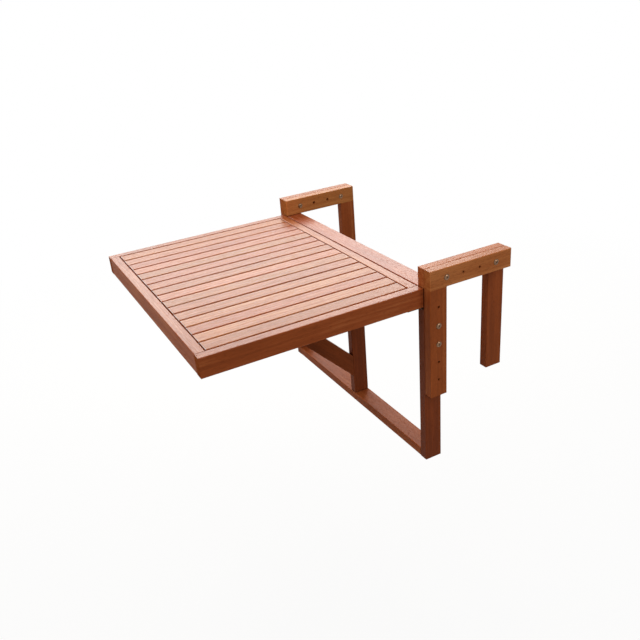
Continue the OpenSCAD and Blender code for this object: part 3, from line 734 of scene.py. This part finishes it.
def setFasteners(name, prototype, places, body, material, seed, replaced=()):
    # places are pairs of a point and the way that the head faces
    mesh = bpy.data.meshes.new(name)
    mesh.from_pydata([p for p, way in places], [], [])
    facing = [c for p, way in places for c in way.to_track_quat("Z", "Y").to_euler()]
    mesh.attributes.new("facing", "FLOAT_VECTOR", "POINT").data.foreach_set("vector", facing)
    obj = newObject(name, mesh)
    modifier = obj.modifiers.new("fasteners", "NODES")
    modifier.node_group = fasteners
    setModifierInputs(modifier, {
        "Fastener": prototype, "Largest turn": 2 * math.pi, "Seed": seed, "Material": material})
    freeze(obj)
    obj.data.shade_smooth()
    obj.data.set_sharp_from_angle(angle=math.radians(turnedSmoothTo))
    dress(obj, None, body, replaced)


def sidewaysPlaces(nodeName, seatX, outward):
    # one place for each solid of the node, on its seat, facing away from the middle or towards it
    found = []
    for box in solidsOf(nodeName):
        at = middle(box)
        side = 1 if at.x > 0 else -1
        found.append((Vector((side * seatX, at.y, at.z)), Vector((side * outward, 0, 0))))
    return found


boltPlaces = sidewaysPlaces("hook_bolts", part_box("hook_board_right")[1].x, 1)
nutPlaces = sidewaysPlaces("hook_nuts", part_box("leg_right")[0].x, -1)
setFasteners("hookBolts", boltObject(boltShape), boltPlaces, "frame", zincMaterial, seed=3,
             replaced=["hook_bolts"])
setFasteners("hookNuts", nutObject(nutShape), nutPlaces, "frame", zincMaterial, seed=5,
             replaced=["hook_nuts"])
hingeScrew = screwObject("hingeScrewShape", hingeScrewShape)
framePlaces = [(Vector((middle(box).x, box[0].y, middle(box).z)), -axes["y"])
               for box in solidsOf("hinge_frame_screws")]
tablePlaces = [(Vector((middle(box).x, middle(box).y, box[0].z)), -axes["z"])
               for box in solidsOf("hinge_table_screws")]
setFasteners("hingeFrameScrews", hingeScrew, framePlaces, "frame", bronzeMaterial, seed=7,
             replaced=["hinge_frame_screws"])
setFasteners("hingeTableScrews", hingeScrew, tablePlaces, "table", bronzeMaterial, seed=8,
             replaced=["hinge_table_screws"])
battenPlaces = []
for nodeName in ("batten_front", "batten_back"):
    low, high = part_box(nodeName)
    for i in range(slatField["Count"]):
        x = slatField["First"].x + i * slatField["Pitch"]
        battenPlaces.append((Vector((x, (low.y + high.y) / 2, low.z)), -axes["z"]))
battenScrew = screwObject("battenScrewShape", battenScrewShape)
setFasteners("battenScrews", battenScrew, battenPlaces, "table", zincMaterial, seed=9)
print("fasteners made")


# Hinge leaves with their edges eased; the dowels, pins and washers keep the CAD's shape. Lengths in mm.
leafShape = dict(easedEdge, ease=0.3)
for body in ("frame", "table"):
    for side in ("left", "right"):
        nodeName = "hinge_%s_leaf_%s" % (body, side)
        leaf = easedCopy(nodeName, leafShape)
        smoothFinish(leaf, leafShape)
        dress(leaf, bronzeMaterial, body, [nodeName])

plainNodes = {
    beechMaterial: ("frame_dowels", "hook_dowels", "gate_dowels", "table_dowels"),
    zincMaterial: ("gate_pins", "gate_washers"),
    bronzeMaterial: ("hinge_pin_left", "hinge_pin_right"),
}
for material, nodeNames in plainNodes.items():
    for nodeName in nodeNames:
        cadNodes[nodeName].data.materials.clear()
        cadNodes[nodeName].data.materials.append(material)
print("hinges, dowels, pins and washers finished")


# Pale matt floor: white to the camera apart from a soft shadow, and greyer to the light that it throws up.
# Metres.
floorLook = {"height": -1.0, "reach": 80.0, "colour": "F4F3F1", "bounce": "4A4744", "grit": 0.0025,
             "gritNoise": {"Detail": 2.0}, "gritRelief": 0.001, "gritStrength": 0.05,
             "ownWhite": 0.85, "ownWhiteTo": 1.5, "allWhiteFrom": 3.5}
# An overcast sky, a little brighter in front, for the light on the table; white to camera, gloss and glass
skyLook = {"zenith": 0.66, "horizon": 0.55, "frontGain": 0.33, "colour": "FFFFFF"}


def seenShare(tree):
    # 1 for rays that show the background: straight to the camera, or by way of gloss or glass
    light = addNode(tree, "ShaderNodeLightPath").outputs
    seen = addNode(tree, "ShaderNodeMath", {"operation": "MAXIMUM"},
                   {0: light["Is Camera Ray"], 1: light["Is Glossy Ray"]})
    return addNode(tree, "ShaderNodeMath", {"operation": "MAXIMUM"}, {0: seen, 1: light["Is Transmission Ray"]})


def paleFloor(look):
    made, tree = newMaterial("paleMattFloor")
    grit = addNode(tree, "ShaderNodeTexNoise", {}, {
        "Vector": addNode(tree, "ShaderNodeTexCoord").outputs["Object"], "Scale": 1 / look["grit"],
        **look["gritNoise"]})
    bump = addNode(tree, "ShaderNodeBump", {},
                   {"Strength": look["gritStrength"], "Distance": look["gritRelief"], "Height": grit})
    shown = addNode(tree, "ShaderNodeBsdfDiffuse", {}, {"Color": linear(look["colour"]), "Normal": bump})
    white = addNode(tree, "ShaderNodeEmission", {}, {"Color": (1, 1, 1, 1), "Strength": 1.0})
    place = addNode(tree, "ShaderNodeNewGeometry").outputs["Position"]
    away = addNode(tree, "ShaderNodeVectorMath", {"operation": "LENGTH"}, {0: place})
    share = addNode(tree, "ShaderNodeMapRange", {"interpolation_type": "SMOOTHSTEP"}, {
        "Value": away, "From Min": look["ownWhiteTo"], "From Max": look["allWhiteFrom"],
        "To Min": look["ownWhite"], "To Max": 1.0})
    shown = addNode(tree, "ShaderNodeMixShader", {}, {0: share, 1: shown, 2: white})
    thrown = addNode(tree, "ShaderNodeBsdfDiffuse", {}, {"Color": linear(look["bounce"])})
    both = addNode(tree, "ShaderNodeMixShader", {}, {0: seenShare(tree), 1: thrown, 2: shown})
    addNode(tree, "ShaderNodeOutputMaterial", {}, {"Surface": both})
    return made


def softSky(look):
    made = bpy.data.worlds.new("softSky")
    made.use_nodes = True
    tree = made.node_tree
    tree.nodes.clear()
    way = addNode(tree, "ShaderNodeTexCoord").outputs["Generated"]
    way = addNode(tree, "ShaderNodeSeparateXYZ", {}, {0: way}).outputs
    level = addNode(tree, "ShaderNodeMapRange", {},
                    {"Value": way["Z"], "To Min": look["horizon"], "To Max": look["zenith"]})
    front = addNode(tree, "ShaderNodeMath", {"operation": "MULTIPLY_ADD"},
                    {0: way["Y"], 1: -look["frontGain"], 2: 1.0})
    level = addNode(tree, "ShaderNodeMath", {"operation": "MULTIPLY"}, {0: level, 1: front})
    sky = addNode(tree, "ShaderNodeBackground", {}, {"Color": linear(look["colour"]), "Strength": level})
    white = addNode(tree, "ShaderNodeBackground", {}, {"Color": (1, 1, 1, 1), "Strength": 1.0})
    both = addNode(tree, "ShaderNodeMixShader", {}, {0: seenShare(tree), 1: sky, 2: white})
    addNode(tree, "ShaderNodeOutputWorld", {}, {"Surface": both})
    return made


floorMesh = bpy.data.meshes.new("floor")
r, z = floorLook["reach"], floorLook["height"]
floorMesh.from_pydata([(-r, -r, z), (r, -r, z), (r, r, z), (-r, r, z)], [], [(0, 1, 2, 3)])
floor = newObject("floor", floorMesh)
floor.data.materials.append(paleFloor(floorLook))
scene.world = softSky(skyLook)

# One large soft lamp on the table's left, for the sheen on its top, and a smaller one on its right, for a glint
# on the bolts
lampPlan = {
    "sheenLamp": {"place": (-2.42, 0.72, 1.55), "aim": (0.02, -0.16, 0), "size": (3.0, 1.5), "watts": 73,
                  "colour": "FFFCF5"},
    "glintLamp": {"place": (2.45, 0.95, 0.42), "aim": (0.4, 0, -0.05), "size": (0.6, 0.6), "watts": 6.5,
                  "colour": "FFFFFF"},
}
for name, plan in lampPlan.items():
    lamp = bpy.data.lights.new(name, "AREA")
    lamp.shape = "RECTANGLE"
    lamp.size, lamp.size_y = plan["size"]
    lamp.energy = plan["watts"]
    lamp.color = linear(plan["colour"])[:3]
    holder = bpy.data.objects.new(name, lamp)
    scene.collection.objects.link(holder)
    holder.location = plan["place"]
    holder.rotation_euler = (Vector(plan["aim"]) - Vector(plan["place"])).to_track_quat("-Z", "Y").to_euler()

# The photograph's view: place, direction and roll fitted to the table's edges, in metres and degrees
viewPlan = {"place": (1.643614, -0.968693, 0.694146),
            "azimuth": -63.28744, "elevation": 25.97853, "roll": -4.86424,
            "lens": 40.277882, "sensor": 36, "clip": (0.05, 300)}
az, el, roll = (math.radians(viewPlan[k]) for k in ("azimuth", "elevation", "roll"))
forward = Vector((math.sin(az) * math.cos(el), math.cos(az) * math.cos(el), -math.sin(el)))
right = forward.cross(axes["z"]).normalized()
upward = right.cross(forward)
right, upward = (right * math.cos(roll) + upward * math.sin(roll),
                 upward * math.cos(roll) - right * math.sin(roll))
camera = bpy.data.cameras.new("photoView")
camera.lens, camera.sensor_width = viewPlan["lens"], viewPlan["sensor"]
camera.clip_start, camera.clip_end = viewPlan["clip"]
cameraObject = bpy.data.objects.new("photoView", camera)
scene.collection.objects.link(cameraObject)
turn = Matrix((right, upward, -forward)).transposed().to_4x4()
cameraObject.matrix_world = Matrix.Translation(Vector(viewPlan["place"])) @ turn
scene.camera = cameraObject
scene.view_settings.view_transform = "Standard"
print("floor, light and camera set")
